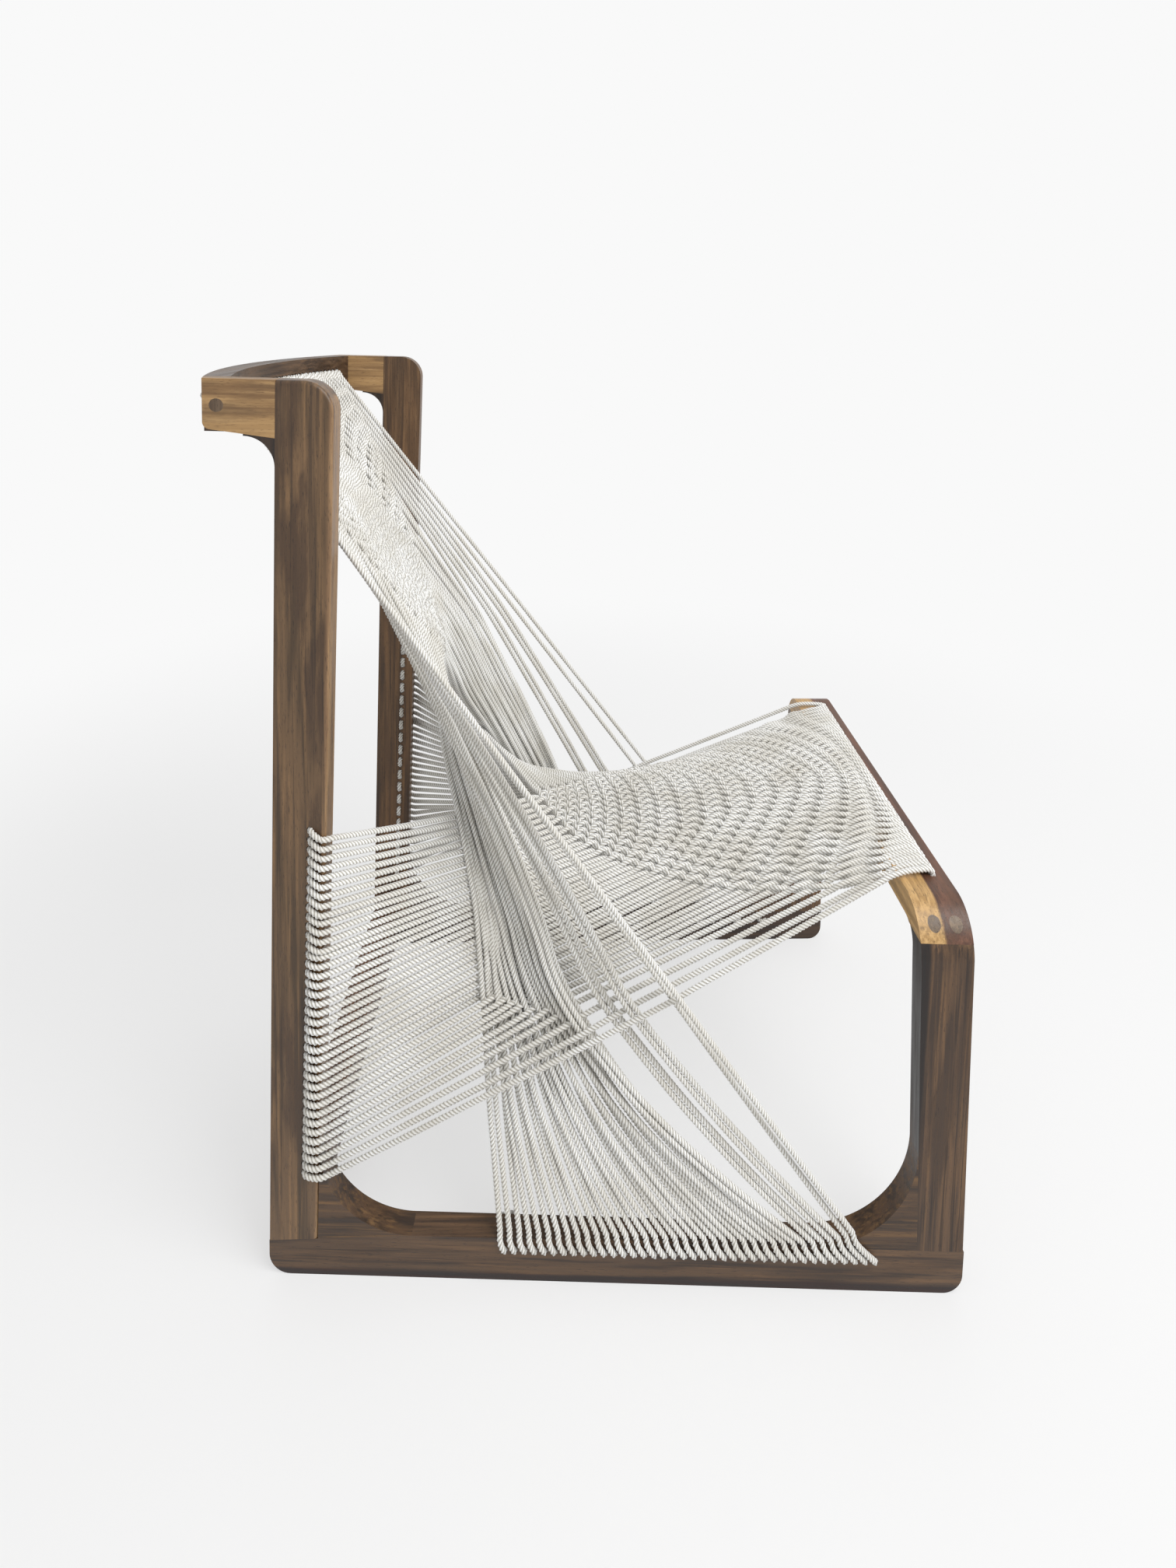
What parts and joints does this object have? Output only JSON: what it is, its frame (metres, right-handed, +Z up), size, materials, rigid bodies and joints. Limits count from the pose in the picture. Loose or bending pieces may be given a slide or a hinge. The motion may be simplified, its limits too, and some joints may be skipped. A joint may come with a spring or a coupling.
{
  "type": "lamu chair",
  "caption": "Low rigid hardwood chair with splayed side frames, a bowed back crossrail and a crossing laced rope seat and back.",
  "frame": {"origin": "on the floor, at the centre of the chair's outline", "axes": "+Z up; the sitter faces -Y; +X to the sitter's left"},
  "size_m": [0.5482, 0.8244, 0.93],
  "materials": {
    "dark_hardwood": "oiled",
    "pale_hardwood": "oiled",
    "black_hardwood": "oiled",
    "dowel_wood": "oiled",
    "steel": "satin",
    "cotton_rope": "matt"
  },
  "bodies": {
    "chair": {"rear_upright_right": "dark_hardwood", "rear_upright_left": "dark_hardwood", "head_block_right": "pale_hardwood", "head_block_left": "pale_hardwood", "head_corner_block_right": "black_hardwood", "head_corner_block_left": "black_hardwood", "back_crossrail": "dark_hardwood", "front_post_right": "dark_hardwood", "front_post_left": "dark_hardwood", "bottom_rail_right": "dark_hardwood", "bottom_rail_left": "dark_hardwood", "rear_corner_block_right": "dark_hardwood", "rear_corner_block_left": "dark_hardwood", "front_corner_block_right": "dark_hardwood", "front_corner_block_left": "dark_hardwood", "seat_rail": "dark_hardwood", "rear_stretcher": "dark_hardwood", "crossrail_dowels": "dowel_wood", "head_block_dowels": "dowel_wood", "upright_dowels": "dowel_wood", "post_dowels": "dowel_wood", "corner_block_dowels": "dowel_wood", "stretcher_dowels": "dowel_wood", "seat_rail_plugs": "dowel_wood", "seat_rail_screws": "steel", "seat_rope_right": "cotton_rope", "seat_rope_left": "cotton_rope", "back_rope_right": "cotton_rope", "back_rope_left": "cotton_rope", "seat_rope_loops": "cotton_rope", "back_rope_loops": "cotton_rope", "rope_knots": "cotton_rope"}
  },
  "joints": []
}
